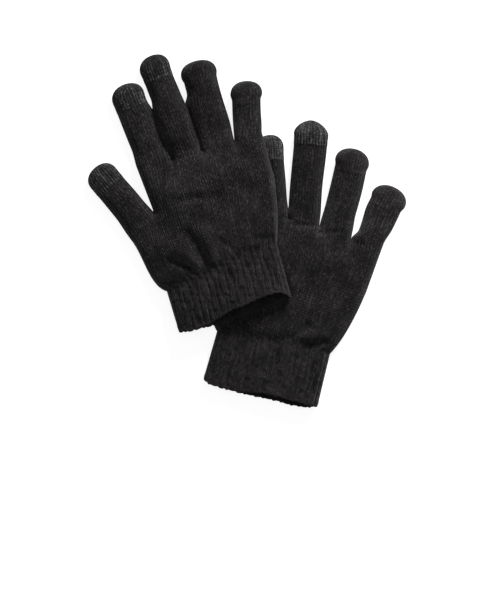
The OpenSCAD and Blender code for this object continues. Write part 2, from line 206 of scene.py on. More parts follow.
# How far the upper edge of each mouth stands up or dips, across the mouth
MOUTH_RISE = (
    ((0.0, 0.0), (0.1, -1.8), (0.28, -1.6), (0.45, 1.5), (0.7, 4.5), (0.9, 3.5), (1.0, 0.0)),
    ((0.0, 0.0), (0.1, -1.0), (0.3, -0.8), (0.5, 1.4), (0.8, 2.2), (1.0, 0.0)),
)
DIP_RUN = 6.0
OPENING_POWER = 1.5

# How soft the hand lies: gathers at the wrist, hollows below the crotches and low waves all over
WRIST_RUN = 5.0
WRIST_SLACK = (1.0, 2.2)
WRIST_PUFF = 0.5
WRIST_PUFF_PLACE = 11.0
WRIST_PUFF_RUN = 6.0
PALM_PUFF = 2.0
PALM_SOFT = 22.0
PALM_RISE = 16.0
CROTCH_FOLD = 6.0
CROTCH_DEPTH = 0.7
CROTCH_HALF_WIDTH = 2.2
SOFT_RISE = 1.4
WAVE_SEED = 7
WAVE_HEIGHT = 0.11
WAVE_LENGTHS = (19.0, 24.0, 29.0, 37.0, 48.0, 61.0)
FINGER_SWAY = 0.35
SWAY_RUN = 11.0
FINGER_PHASE, GLOVE_PHASE = 2.3, 4.0
BLEND_RUN = 10.0

# Creases and ridges of each glove as the pair lies: start, end, half width and height
CREASES = (
    (
        ((-69.5, 152.6), (-48.5, 155.2), 3.4, -0.9),
        ((-48.5, 155.2), (-28.5, 156.0), 3.4, -0.6),
        ((-66.0, 159.5), (-40.0, 162.0), 3.6, 0.5),
        ((-58.5, 126.5), (-45.5, 104.5), 4.6, -3.0),
        ((-43.0, 127.0), (-38.5, 105.5), 5.2, 2.8),
        ((-72.0, 105.0), (-57.0, 99.5), 3.0, -2.9),
        ((-66.5, 116.0), (-51.5, 102.5), 4.0, 1.6),
        ((-32.5, 120.5), (-24.5, 115.5), 2.6, -1.1),
        ((-5.5, 122.5), (7.5, 123.5), 2.8, -0.8),
        ((-13.3, 131.0), (-13.3, 126.0), 3.6, 0.7),
        ((-84.1, 123.3), (-72.1, 114.3), 5.0, 0.6),
        ((5.9, 177.3), (9.5, 140.0), 1.9, 1.0),
        ((9.5, 140.0), (11.8, 114.0), 1.9, 1.0),
    ),
    (
        ((37.5, 37.6), (50.5, 40.2), 2.6, -1.5),
        ((34.0, 44.0), (50.0, 46.5), 3.4, 0.9),
        ((23.0, 43.5), (36.0, 53.0), 3.6, -1.9),
        ((27.5, 133.4), (42.5, 133.9), 2.0, -1.0),
        ((46.5, 127.3), (63.5, 128.6), 2.0, -1.0),
        ((72.5, 120.6), (81.0, 118.1), 2.0, -0.9),
        ((39.9, 99.3), (65.9, 103.3), 4.5, 0.5),
        ((20.0, 80.0), (45.0, 74.0), 4.5, -0.5),
    ),
)


def smooth(x):
    q = np.clip(x, 0.0, 1.0)
    return q * q * (3.0 - 2.0 * q)


def mix(a, b, q):
    return a + (b - a) * q


def bell(distance, run):
    return np.exp(-((distance / run) ** 2))


def hump(s, start, full, still, end):
    """Share that rises from start to full and falls from still to end."""
    return smooth((s - start) / (full - start)) * smooth((end - s) / (end - still))


def curve(a, b, c, q):
    return mix(mix(a, b, q), mix(b, c, q), q)


def through(points, x):
    """Heights at x of a smooth curve through a few points."""
    places, heights = np.array(points).T
    slopes = np.gradient(heights, places)
    k = np.clip(np.searchsorted(places, x) - 1, 0, len(places) - 2)
    run = places[k + 1] - places[k]
    q = (x - places[k]) / run
    bend = q * (1.0 - q) * run * (slopes[k] * (1.0 - q) - slopes[k + 1] * q)
    return mix(heights[k], heights[k + 1], smooth(q)) + bend


def toward(degrees):
    angle = np.radians(degrees)
    return np.stack([np.cos(angle), np.sin(angle)], axis=-1)


def length(v):
    return np.sqrt((v * v).sum(-1))


def unit(v):
    return v / length(v)[..., None]


def sums(values):
    return np.concatenate([[0], np.cumsum(values)])


def column(values):
    return np.asarray(values, float)[:, None]


def ahead(glove):
    """The way a glove's fingers point as it lies."""
    return toward(TURN[glove] + QUARTER_TURN)


def turned(glove, p):
    """Directions or points of a glove's own frame, turned as the glove lies."""
    return p[..., :1] * toward(TURN[glove]) + p[..., 1:2] * ahead(glove)


def lying(glove, p):
    return turned(glove, np.asarray(p, float)) + np.array(MOUTH[glove])


# Outline of the hand and the roots of the fingers, in a glove's own frame
KNUCKLES = [sums(widths) - edge for widths, edge in zip(ROOT_WIDTHS, INDEX_EDGE)]


def crotch(glove):
    return np.array([-CROTCH_REACH, THUMB_CROTCH[glove]])


def thumb_corner(glove):
    return np.array([-THUMB_REACH[glove], THUMB_LOW[glove]])


def crotch_level(glove):
    return np.array([PALM_SIDE[glove], THUMB_CROTCH[glove]])


def wrist_left(glove):
    return np.array([-WRIST_WIDTH[glove] / 2 - WRIST_SLACK[glove], WRIST_THUMB_SIDE[glove]])


def wrist_right(glove):
    return np.array([WRIST_WIDTH[glove] / 2, WRIST_LITTLE_SIDE[glove]])


def cuff_depth(glove):
    return (WRIST_THUMB_SIDE[glove] + WRIST_LITTLE_SIDE[glove]) / 2


def wrist_middle(glove):
    return np.array([0.0, cuff_depth(glove)])


def heel_side(glove, q):
    low, high = np.array(HEEL_LOW[glove]), np.array(HEEL_HIGH[glove])
    return mix(curve(wrist_left(glove), low, high, q), curve(low, high, thumb_corner(glove), q), q)


def outer_side(glove, q):
    return curve(wrist_right(glove), np.array([SIDE_REACH, SIDE_HEIGHT]), crotch_level(glove), q)


def finger_root(glove, finger):
    if finger == THUMB:
        return thumb_corner(glove), crotch(glove)
    level = HAND_LENGTH[glove]
    return np.array([KNUCKLES[glove][finger - 1], level]), np.array([KNUCKLES[glove][finger], level])


def finger_crotches(glove):
    return [np.array([x, HAND_LENGTH[glove]]) for x in KNUCKLES[glove][1:-1]]


def dipped(glove, plan):
    """Points of a glove's own frame, drawn down round the crotch that is deeper than the others."""
    owner, finger = DEEP_CROTCH
    if glove != owner:
        return plan
    share = bell(length(plan - finger_root(glove, finger)[1]), CROTCH_DIP_RUN)
    return plan - np.array([0.0, CROTCH_DIP]) * share[..., None]


def finger_axis(glove, finger):
    return toward(FINGER_LAY[finger][glove] + QUARTER_TURN)


def finger_centre(glove, finger, s):
    a, b = finger_root(glove, finger)
    return (a + b) / 2 + column(np.atleast_1d(s)) * finger_axis(glove, finger)


# Drape of the left glove: full height over the right glove, falling to the floor beside it
def tip_side(finger):
    s = FINGER_LENGTH[finger][RIGHT] - TIP_ROUND
    half = (FINGER_WIDTH[finger][RIGHT] + TIP_BULGE[finger]) / 2
    return lying(RIGHT, finger_centre(RIGHT, finger, s)[0] - toward(FINGER_LAY[finger][RIGHT]) * half)


DRAPE_LINE = (lying(RIGHT, heel_side(RIGHT, 0.5)), tip_side(THUMB), tip_side(INDEX))


def outside(p, a, b):
    d = unit(b - a)
    return (p[..., 1] - a[1]) * d[0] - (p[..., 0] - a[0]) * d[1] - DRAPE_MARGIN


def lift(p):
    heel, thumb, index = DRAPE_LINE
    low, high = outside(p, heel, thumb), outside(p, thumb, index)
    reach = (low + high + np.sqrt((low - high) ** 2 + DRAPE_MARGIN**2)) / 2
    return STACK_HEIGHT * (1.0 - smooth(reach / DRAPE_RUN))


def joint_place(name):
    joints = frame["record"]["behaviour"]["joints"]
    return np.array(next(j for j in joints if j["name"] == name)["pos_m"]) / MM


PAIR_CENTRE = lying(RIGHT, wrist_middle(RIGHT)) - joint_place("right_wrist_fold")[:2]


def placed(glove, p):
    return lying(glove, p) - PAIR_CENTRE


def left_edge():
    """Reach and height of the left glove's edge on its little finger's side."""
    mouth = np.array([MOUTH_WIDTH / 2, 0.0])
    tip = finger_centre(LEFT, LITTLE, FINGER_LENGTH[LITTLE][LEFT])[0]
    tip_edge = tip + toward(FINGER_LAY[LITTLE][LEFT]) * FINGER_WIDTH[LITTLE][LEFT] / 2
    root = finger_root(LEFT, LITTLE)[1]
    return np.stack([mouth, wrist_right(LEFT), crotch_level(LEFT), root, tip_edge], axis=1)


def below_left(place):
    """Share to which the left glove, lying on a place, presses the softness there flat."""
    offset = place + PAIR_CENTRE - np.array(MOUTH[LEFT])
    across = offset @ toward(TURN[LEFT])
    along = offset @ ahead(LEFT)
    reach, height = left_edge()
    inside = np.minimum(np.interp(along, height, reach) - across, along)
    return smooth((inside - PRESS_START) / PRESS_RUN)


# Soft shape of the upper side
def crease_height(place, start, end, half_width, height):
    run = np.subtract(end, start)
    share = np.clip(((place - start) @ run) / (run @ run), 0.0, 1.0)
    distance = length(place - start - share[..., None] * run)
    return height * bell(distance, half_width)


WAVES = np.random.default_rng(WAVE_SEED).uniform(0.0, FULL_TURN, (len(SIDES), len(WAVE_LENGTHS), 2))


def low_waves(glove, place):
    total = np.zeros(place.shape[:-1])
    for wave_length, (heading, phase) in zip(WAVE_LENGTHS, WAVES[glove]):
        total += np.sin(place @ toward(heading) * (2 * np.pi / wave_length) + np.radians(phase))
    return WAVE_HEIGHT * total


def soft_shape(glove, place):
    total = low_waves(glove, place)
    for crease in CREASES[glove]:
        total += crease_height(place + PAIR_CENTRE, *crease)
    down = -CROTCH_FOLD * ahead(glove)
    for point in finger_crotches(glove):
        start = placed(glove, dipped(glove, point))
        total += crease_height(place, start, start + down, CROTCH_HALF_WIDTH, -CROTCH_DEPTH)
    return total


# Skins: rows of points that go round a tube of knit
EDGE_ANGLES = np.linspace(0.0, np.pi / 2, EDGE_POINTS)


def oval(count, width, thickness):
    """Places along a row, evenly spaced over the skin of a flat tube with rounded sides."""
    reach = EDGE_ROUND * (1.0 - np.cos(EDGE_ANGLES))
    height = thickness / 2 * np.sin(EDGE_ANGLES)
    place = np.concatenate([reach, width - reach[::-1]])
    rise = np.concatenate([height, height[::-1]])
    path = sums(np.hypot(np.diff(place), np.diff(rise)))
    return np.interp(np.linspace(0.0, path[-1], count + 1), path, place)


def ovals(counts, widths):
    """Places along a row of flat tubes side by side."""
    tubes = zip(sums(widths), counts, widths)
    parts = [start + oval(count, width, HAND_THICKNESS)[1:] for start, count, width in tubes]
    return np.concatenate([[0.0], *parts])


def rounded(distance, edge):
    """Share of the half thickness at a distance from the outline."""
    inward = 1.0 - np.clip(distance / edge, 0.0, 1.0)
    return np.sqrt(np.maximum(0.0, 1.0 - inward * inward))


def from_ends(place, width):
    return np.minimum(place, width - place)


def swell(distance, reach):
    """Share of a soft swelling at a distance from the outline."""
    return rounded(distance, reach) ** 2


def mirrored(top):
    """The upper side's columns, then those of the under side, going back to the thumb's side."""
    return np.concatenate([top, top[:, -2:0:-1]], axis=1)


def wale_grooves(rows, columns, depth):
    pattern = np.array(WALE_GROOVE)[np.arange(columns) % WALE_POINTS]
    return np.broadcast_to(depth, (rows, 1)) * pattern


# What each point of the knit carries: its wale and course, how much it is bound or lit, and the painted
# light and shade of its finger or tip
BAND, PAINTED_SHADING = 2, 3
TINY = 1e-9


class Skin:
    """Outer and inner points of a tube of knit, with each point's stitch values."""

    def __init__(self, glove, plan, rise, thickness, across, wale, courses, grooves, puff, raised=0.0):
        columns = plan.shape[1]
        half = column(thickness) / 2
        height = mirrored(rise * half)
        height[:, columns:] *= -1.0
        face = height / half
        place = placed(glove, mirrored(dipped(glove, plan)))
        floor = lift(place + PAIR_CENTRE) if glove == LEFT else np.zeros(height.shape)
        soft = (soft_shape(glove, place) + puff) * smooth(face * SOFT_RISE)
        if glove == RIGHT:
            soft = soft * (1.0 - below_left(place))
        middle = floor + half + raised
        points = np.dstack([place, middle + height + soft])
        step = np.roll(points, -1, axis=1) - np.roll(points, 1, axis=1)
        heading = turned(glove, mirrored(across))
        run = (step[..., :2] * heading).sum(-1)
        normal = np.dstack([-step[..., 2:] * heading, run])
        self.normal = normal / np.maximum(length(normal), TINY)[..., None]
        self.points = points
        self.outer = points - self.normal * (grooves * smooth(np.abs(face) / SIDE_FADE))[..., None]
        self.inner = points - self.normal * WALL
        upper = slice(1, columns - 1)
        lower = slice(columns, None)
        level = self.inner[..., 2]
        level[:, upper] = np.maximum(level[:, upper], middle[:, upper] + LEAST_HOLLOW)
        level[:, lower] = np.minimum(level[:, lower], middle[:, lower] - LEAST_HOLLOW)
        wale = mirrored(np.broadcast_to(wale, (len(plan), columns)))
        course = np.broadcast_to(column(courses), wale.shape)
        self.stitch = np.dstack([wale, course, np.zeros((*wale.shape, 2))])


def row_points(a, between, b, place):
    """Points and directions along rows that run from a to b with a bend in between."""
    first = column(length(between - a))
    left = place <= first
    start = np.where(left[..., None], a[:, None], between[:, None])
    heading = np.where(left[..., None], unit(between - a)[:, None], unit(b - between)[:, None])
    return start + heading * np.where(left, place, place - first)[..., None], heading


HAND_COLUMNS = WALE_POINTS * sum(FINGER_WALES)
THUMB_COLUMNS = WALE_POINTS * FINGER_WALES[THUMB]
PALM_COLUMNS = HAND_COLUMNS - THUMB_COLUMNS
FINGER_COLUMNS = [WALE_POINTS * n for n in FINGER_WALES]
FIRST_COLUMN = sums(FINGER_COLUMNS)


def wales(first, columns):
    return (first + np.arange(columns + 1)) / WALE_POINTS


def row_count(distance):
    return int(round(distance / ROW))


def lower_rows(glove):
    return row_count(length(thumb_corner(glove) - wrist_left(glove)))


def upper_rows(glove):
    return row_count(HAND_LENGTH[glove] - THUMB_CROTCH[glove])


def lower_palm(glove):
    rows = lower_rows(glove)
    q = np.linspace(0.0, 1.0, rows + 1)
    a = heel_side(glove, q[:, None])
    b = outer_side(glove, q[:, None])
    corner, end, fork = thumb_corner(glove), crotch_level(glove), crotch(glove)
    root, level = length(fork - corner), length(end - fork)
    thumb_share = root / (root + level)
    between = mix(mix(a, b, thumb_share), fork, q[:, None] ** 2)
    width = column(length(between - a) + length(b - between))
    forked = ovals((THUMB_COLUMNS, PALM_COLUMNS), (root, level)) / (root + level)
    whole = np.array([oval(HAND_COLUMNS, w, HAND_THICKNESS) / w for w in width[:, 0]])
    blend = column(smooth((q - THUMB_PARTS) / (1.0 - THUMB_PARTS)))
    place = mix(whole, forked, blend) * width
    plan, heading = row_points(a, between, b, place)
    from_side = from_ends(place, width)
    distance = np.minimum(from_side, length(plan - fork))
    above = np.arange(rows + 1) * ROW
    past_fork = place - width * thumb_share
    thumb_puff = ROOT_PUFF * swell(np.minimum(place, -past_fork), root / 2)
    palm_puff = PALM_PUFF * swell(np.minimum(past_fork, width - place), PALM_SOFT)
    forked_puff = np.where(np.arange(HAND_COLUMNS + 1) <= THUMB_COLUMNS, thumb_puff, palm_puff)
    whole_puff = PALM_PUFF * swell(from_side, PALM_SOFT)
    puff = mix(whole_puff, forked_puff, blend) * column(smooth(above / PALM_RISE))
    puff = puff + column(WRIST_PUFF * bell(above - WRIST_PUFF_PLACE, WRIST_PUFF_RUN))
    grooves = wale_grooves(rows + 1, 2 * HAND_COLUMNS, column(GROOVE_DEPTH * smooth(above / RIB_FADE)))
    return Skin(
        glove, plan, rounded(distance, EDGE_ROUND), np.full(rows + 1, HAND_THICKNESS), heading,
        wales(0, HAND_COLUMNS), np.arange(rows + 1),
        grooves + rib_grooves(column(-above)), mirrored(puff),
    )


def upper_palm(glove):
    rows = upper_rows(glove)
    q = np.linspace(0.0, 1.0, rows + 1)
    a = mix(crotch(glove), finger_root(glove, INDEX)[0], q[:, None])
    b = mix(crotch_level(glove), finger_root(glove, LITTLE)[1], q[:, None])
    width = column(length(b - a))
    roots = ROOT_WIDTHS[glove]
    forked = ovals(FINGER_COLUMNS[INDEX:], roots) / sum(roots)
    whole = oval(PALM_COLUMNS, width[0, 0], HAND_THICKNESS) / width[0]
    blend = column(smooth((q - FINGERS_PART) / (1.0 - FINGERS_PART)))
    place = mix(whole, forked, blend) * width
    heading = np.broadcast_to(unit(b - a)[:, None], (*place.shape, 2))
    plan = a[:, None] + heading * place[..., None]
    distance = from_ends(place, width)
    puff = PALM_PUFF * swell(distance, PALM_SOFT)
    for point in finger_crotches(glove):
        distance = np.minimum(distance, length(plan - point))
    root_puff = [
        ROOT_PUFF * swell(from_ends(oval(count, w, HAND_THICKNESS), w), w / 2)[1:]
        for count, w in zip(FINGER_COLUMNS[INDEX:], roots)
    ]
    puff = mix(puff, np.concatenate([[0.0], *root_puff]), blend)
    return Skin(
        glove, plan, rounded(distance, EDGE_ROUND), np.full(rows + 1, HAND_THICKNESS), heading,
        wales(THUMB_COLUMNS, PALM_COLUMNS), lower_rows(glove) + np.arange(rows + 1),
        wale_grooves(rows + 1, 2 * PALM_COLUMNS, GROOVE_DEPTH), mirrored(puff),
    )


def tube_width(glove, finger, s):
    a, b = finger_root(glove, finger)
    return mix(length(b - a), FINGER_WIDTH[finger][glove], smooth(s / ROOT_RUN))


def touch_reach(glove, finger, s):
    """How much further a finger's two sides reach, on the thumb's side first, to lie against others."""
    reach = np.zeros((2, len(s)))
    for owner, first, second, run, share in TOUCHING:
        if owner != glove or finger not in (first, second):
            continue
        spacing = length(finger_centre(glove, second, s) - finger_centre(glove, first, s))
        gap = spacing - (tube_width(glove, first, s) + tube_width(glove, second, s)) / 2 - TOUCH_GAP
        part = share if finger == first else 1.0 - share
        release = 1.0 - smooth((s - run) / TOUCH_RELEASE)
        reach[int(finger == first)] += np.maximum(gap, 0.0) * part * release
    if (glove, finger) == SLIM_ROOT:
        reach[0] += SLIM_REACH * hump(s, *SLIM_RUN)
    return reach


def finger_raise(glove, finger, s):
    if (glove, finger) != RAISED_FINGER:
        return np.zeros(len(s))
    return RAISE_HEIGHT * hump(s, *RAISE_RUN)


class FingerRows:
    """Places of a finger's rows of points, with the numbers of the rows where its pieces meet."""

    def __init__(self, glove, finger):
        full = FINGER_LENGTH[finger][glove]
        stops = (0.0, FINGER_BEND[finger], full - TIP_LENGTH, full - TIP_ROUND)
        parts = [np.linspace(a, b, row_count(b - a) + 1)[:-1] for a, b in zip(stops, stops[1:])]
        angles = np.radians(np.linspace(0.0, QUARTER_TURN, row_count(TIP_ROUND * TIP_ARC) + 1))
        power = 2.0 / TIP_SHAPE[finger][glove]
        straight = np.concatenate(parts)
        self.bend_row = len(parts[0])
        self.tip_row = self.bend_row + len(parts[1])
        self.place = np.concatenate([straight, stops[-1] + TIP_ROUND * np.sin(angles) ** power])
        self.share = np.concatenate([np.ones(len(straight)), np.cos(angles) ** power])
        self.share[-1] = 0.0
        self.last_inner = int(np.flatnonzero(self.share >= TIP_INNER_SHARE)[-1])


def finger_skin(glove, finger, rows):
    s = rows.place
    tip_start = s[rows.tip_row]
    a, b = finger_root(glove, finger)
    root_angle = math.degrees(math.atan2(b[1] - a[1], b[0] - a[0]))
    settle = smooth(s / ROOT_RUN)
    heading = toward(mix(root_angle, FINGER_LAY[finger][glove], settle))
    in_tip = smooth((s - tip_start + TIP_STEP_RUN / 2) / TIP_STEP_RUN)
    step = TIP_STEP[finger]
    width = tube_width(glove, finger, s) + step * in_tip
    bulge_start = s[-1] - BULGE_START
    width += (TIP_BULGE[finger] - step) * smooth((s - bulge_start) / BULGE_RUN)
    lean = TIP_LEAN[finger][glove] * smooth((s - bulge_start) / BULGE_START)
    phase = FINGER_PHASE * finger + GLOVE_PHASE * glove
    sway = np.sin(s / SWAY_RUN + phase) * FINGER_SWAY * settle * rows.share
    width += sway
    thumb_reach, other_reach = touch_reach(glove, finger, s)
    width += thumb_reach + other_reach
    thickness = mix(FINGER_THICKNESS, TIP_THICKNESS, in_tip)
    columns = FINGER_COLUMNS[finger]
    place = np.array([oval(columns, w, t) for w, t in zip(width, thickness)])
    half = column(width) / 2
    inward = from_ends(place, 2 * half)
    dome = rounded(inward, half)
    domed = smooth(s / DOME_RUN)
    rise = rounded(inward, EDGE_ROUND) * mix(1.0, dome, FINGER_DOME * column(domed))
    rise = rise * column(rows.share)
    puff = mirrored(dome**2) * column(mix(ROOT_PUFF, FINGER_PUFF, domed) * rows.share)
    centre = finger_centre(glove, finger, s)
    centre = centre + heading * column(lean + sway + (other_reach - thumb_reach) / 2)
    spread = (place - half) * column(rows.share)
    across = np.broadcast_to(heading[:, None], (*spread.shape, 2))
    tube_depth = mix(GROOVE_DEPTH, FINGER_GROOVE_DEPTH, settle)
    tip_depth = TIP_GROOVE_DEPTH if finger in TOUCH_FINGERS else FINGER_GROOVE_DEPTH
    depth = mix(tube_depth, tip_depth, in_tip) * smooth(rows.share * TIP_GROOVE_FADE)
    courses = lower_rows(glove) + np.arange(len(s))
    if finger != THUMB:
        courses = courses + upper_rows(glove)
    skin = Skin(
        glove, centre[:, None] + across * spread[..., None], rise, thickness, across,
        wales(FIRST_COLUMN[finger], columns), courses,
        wale_grooves(len(s), 2 * columns, column(depth)), puff,
        column(finger_raise(glove, finger, s)),
    )
    # Painted light and shade of the finger, growing in from its root
    skin.stitch[..., PAINTED_SHADING] = FINGER_PAINTED_SHADING[finger][glove] * column(settle)
    if finger in TOUCH_FINGERS:
        band = TIP_BANDS[finger][glove]
        skin.stitch[..., BAND] = band * column(bell(s - tip_start - ROW, ROW))
    return skin


def cuff_rows(glove, shares, puff, grooves):
    """Rows of the cuff at shares of the way from its mouth to the wrist line."""
    a = mix(np.array([-MOUTH_WIDTH / 2, 0.0]), wrist_left(glove), column(shares))
    b = mix(np.array([MOUTH_WIDTH / 2, 0.0]), wrist_right(glove), column(shares))
    heading = unit(b - a)
    depth = cuff_depth(glove)
    in_hand = smooth(1.0 - (1.0 - shares) * depth / WRIST_RUN)
    grow = column(puff)
    shift = CUFF_SHIFT[glove] * column(1.0 - shares)
    a = a + heading * (shift - grow)
    b = b + heading * (shift + grow)
    width = length(b - a)
    thickness = mix(CUFF_THICKNESS, HAND_THICKNESS, in_hand) + puff
    place = np.array([oval(HAND_COLUMNS, w, t) for w, t in zip(width, thickness)])
    across = np.broadcast_to(heading[:, None], (*place.shape, 2))
    plan = a[:, None] + across * place[..., None]
    rise = rounded(from_ends(place, width[:, None]), EDGE_ROUND)
    mouth_rise = through(MOUTH_RISE[glove], place[0] / width[0])
    dip = np.minimum(mouth_rise, 0.0) * column(bell(shares * depth, DIP_RUN))
    opening = np.maximum(mouth_rise, 0.0) * column((1.0 - shares) ** OPENING_POWER)
    skin = Skin(
        glove, plan, rise, thickness, across, wales(0, HAND_COLUMNS),
        (shares - 1.0) * depth / ROW, grooves, mirrored(dip + opening),
    )
    away = -ahead(glove)
    upper, under = (through(edge, place[0] / width[0]) for edge in MOUTH_EDGES[glove])
    edge = np.concatenate([upper, under[-2:0:-1]])
    near_mouth = column(np.maximum(0.0, 1.0 - shares) ** 2)
    reach = near_mouth * (edge + MOUTH_SCALLOP * rib_ridges(from_wrist(glove, shares)))
    for points in (skin.points, skin.outer, skin.inner):
        points[..., :2] += away * reach[..., None]
    return skin


def from_wrist(glove, shares):
    return column((1.0 - shares) * cuff_depth(glove))


def rib_ridges(along):
    """How high the ribs stand, from 0 to 1, at distances from the wrist line. They waver and break up."""
    phase = mirrored(np.arange(HAND_COLUMNS + 1)[None] * RIB_COUNT / HAND_COLUMNS)
    rib = np.floor(phase)
    (run, shift), (long_run, long_shift) = RIB_WAVERS
    waver = np.sin(along / run + shift * rib) + np.sin(along / long_run + long_shift * phase)
    ridge = np.abs(np.sin(np.pi * (phase + RIB_WOBBLE * waver)))
    (run, shift), (long_run, long_shift) = RIB_BREAK_WAVES
    breaks = np.sin(along / run + shift * rib) * np.sin(along / long_run + long_shift * rib)
    return ridge**RIB_SHAPE * (1.0 - RIB_BREAKS * np.maximum(0.0, breaks))


def rib_grooves(along):
    return RIB_DEPTH * smooth((along + RIB_FADE) / RIB_FADE) * (1.0 - rib_ridges(along))


def hem_share(glove):
    return HEM_LENGTH / min(WRIST_THUMB_SIDE[glove], WRIST_LITTLE_SIDE[glove])


def cuff(glove):
    depth = max(WRIST_THUMB_SIDE[glove], WRIST_LITTLE_SIDE[glove])
    start = hem_share(glove)
    shares = np.linspace(start, 1.0, row_count(depth * (1.0 - start)) + 1)
    return cuff_rows(glove, shares, np.zeros(len(shares)), rib_grooves(from_wrist(glove, shares)))


def hem(glove):
    """Rows from inside the cuff, round the mouth's lip and up to the ribs."""
    share = hem_share(glove)
    q = np.linspace(0.0, 1.0, HEM_ROWS + 1)
    roll = HEM_ROLL * np.sin(np.pi * q) ** 2
    row, place = np.meshgrid(np.arange(HEM_ROWS + 1), np.arange(2 * HAND_COLUMNS), indexing="ij")
    stitch = np.sin(2 * np.pi * (place + HEM_STITCH_SLANT * row) / WALE_POINTS)
    thread = column(1.0 - smooth(q / THREAD_SHARE))
    ribs = rib_grooves(from_wrist(glove, q * share))
    skin = cuff_rows(glove, q * share, roll, mix(ribs, HEM_STITCH_DEPTH * (1.0 + stitch) / 2, thread))
    skin.stitch[..., BAND] = thread
    away = np.append(-ahead(glove), 0.0)
    angles = np.linspace(0.0, np.pi, LIP_ROWS + 2)[1:-1]
    edge, into = skin.outer[0], skin.inner[0] - skin.outer[0]
    lip = [edge + into * (1 - np.cos(t)) / 2 + away * WALL / 2 * np.sin(t) for t in angles]
    lip_stitch = np.repeat(skin.stitch[:1], LIP_ROWS, 0)
    stitches = np.concatenate([skin.stitch[::-1], lip_stitch, skin.stitch])
    return np.concatenate([skin.inner[::-1], lip[::-1], skin.outer]), stitches


# Meshes
WELDS_PER_MM = 1e4


def quads(rows):
    """Faces between rows of point numbers that go round a tube."""
    after = np.roll(rows, -1, axis=1)
    return np.stack([rows[:-1], after[:-1], after[1:], rows[1:]], axis=-1).reshape(-1, 4)


def joined(points, faces):
    """Welds points that coincide and drops the faces that this closes up."""
    keys = np.round(points * WELDS_PER_MM).astype(np.int64)
    _, first, number = np.unique(keys, axis=0, return_index=True, return_inverse=True)
    faces = number.reshape(-1)[faces]
    kept = []
    for face in faces.tolist():
        corners = [p for p, before in zip(face, face[-1:] + face[:-1]) if p != before]
        kept.append(corners if len(set(corners)) > 2 else None)
    return first, kept


def sharpen_rims(mesh, is_smooth):
    """Keeps the flat rims out of the skin's shading, so that no line shows where two pieces meet."""
    edges = np.empty(len(mesh.loops), np.int32)
    mesh.loops.foreach_get("edge_index", edges)
    corners = np.empty(len(mesh.polygons), np.int32)
    mesh.polygons.foreach_get("loop_total", corners)
    is_sharp = np.zeros(len(mesh.edges), bool)
    is_sharp[edges[np.repeat(~is_smooth, corners)]] = True
    mesh.edges.foreach_set("use_edge_sharp", is_sharp)


def linked(name, data):
    """A new object in the scene."""
    thing = bpy.data.objects.new(name, data)
    bpy.context.scene.collection.objects.link(thing)
    return thing


def make_mesh(name, points, stitches, skin_faces, rim_faces):
    first, faces = joined(points, np.concatenate([skin_faces, rim_faces]))
    is_smooth = [n < len(skin_faces) for n, face in enumerate(faces) if face]
    mesh = bpy.data.meshes.new(name)
    mesh.from_pydata((points[first] * MM).tolist(), [], [face for face in faces if face])
    mesh.polygons.foreach_set("use_smooth", is_smooth)
    attribute = mesh.attributes.new("stitch", "FLOAT_VECTOR", "POINT")
    attribute.data.foreach_set("vector", stitches[first, :PAINTED_SHADING].astype(np.float32).ravel())
    # The painted light and shade of each point
    attribute = mesh.attributes.new("tone", "FLOAT", "POINT")
    attribute.data.foreach_set("value", stitches[first, PAINTED_SHADING].astype(np.float32))
    mesh.update()
    sharpen_rims(mesh, np.array(is_smooth))
    return linked(name, mesh)


class Shell:
    """Gathers the faces of a piece of knit with an outer skin, an inner skin and rims."""

    def __init__(self):
        self.points = []
        self.stitches = []
        self.skin = []
        self.rims = []
        self.count = 0

    def add(self, points, stitches):
        rows = np.arange(points.shape[0] * points.shape[1]).reshape(points.shape[:2]) + self.count
        self.points.append(points.reshape(-1, 3))
        self.stitches.append(stitches.reshape(-1, PAINTED_SHADING + 1))
        self.count += rows.size
        return rows

    def tube(self, outer, inner, outer_stitch, inner_stitch):
        outer_rows = self.add(outer, outer_stitch)
        inner_rows = self.add(inner, inner_stitch)
        self.skin.append(quads(outer_rows))
        self.skin.append(quads(inner_rows)[:, ::-1])
        return outer_rows, inner_rows

    def near_rim(self, outer_row, inner_row):
        self.rims.append(quads(np.stack([inner_row, outer_row])))

    def far_rim(self, outer_row, inner_row, edges=slice(None)):
        self.rims.append(quads(np.stack([outer_row, inner_row]))[edges])

    def make(self, name):
        rims = np.concatenate(self.rims) if self.rims else np.zeros((0, 4), int)
        points, stitches = np.concatenate(self.points), np.concatenate(self.stitches)
        return make_mesh(name, points, stitches, np.concatenate(self.skin), rims)


def coarse(first, last):
    """Numbers of the inner skin's rows, which are further apart than the outer skin's."""
    count = max(2, (last - first) // INNER_STEP + 1)
    return np.round(np.linspace(first, last, count)).astype(int)


def hand_piece(name, glove):
    lower, upper = lower_palm(glove), upper_palm(glove)
    shared = slice(THUMB_COLUMNS, THUMB_COLUMNS + 2 * PALM_COLUMNS)
    upper.outer[0] = lower.outer[-1, shared]
    upper.inner[0] = lower.inner[-1, shared]
    shell = Shell()
    rims = []
    for skin in (lower, upper):
        inner = coarse(0, len(skin.outer) - 1)
        rims.append(shell.tube(skin.outer, skin.inner[inner], skin.stitch, skin.stitch[inner]))
    (outer, inner), (upper_outer, upper_inner) = rims
    shell.near_rim(outer[0], inner[0])
    thumb_edges = np.r_[0:THUMB_COLUMNS, 2 * HAND_COLUMNS - THUMB_COLUMNS:2 * HAND_COLUMNS]
    shell.far_rim(outer[-1], inner[-1], thumb_edges)
    shell.far_rim(upper_outer[-1], upper_inner[-1])
    return shell.make(name)


def tube_piece(name, skin, first, last):
    inner = coarse(first, last)
    shell = Shell()
    outer_rows, inner_rows = shell.tube(
        skin.outer[first:last + 1], skin.inner[inner], skin.stitch[first:last + 1], skin.stitch[inner]
    )
    shell.near_rim(outer_rows[0], inner_rows[0])
    shell.far_rim(outer_rows[-1], inner_rows[-1])
    return shell.make(name)


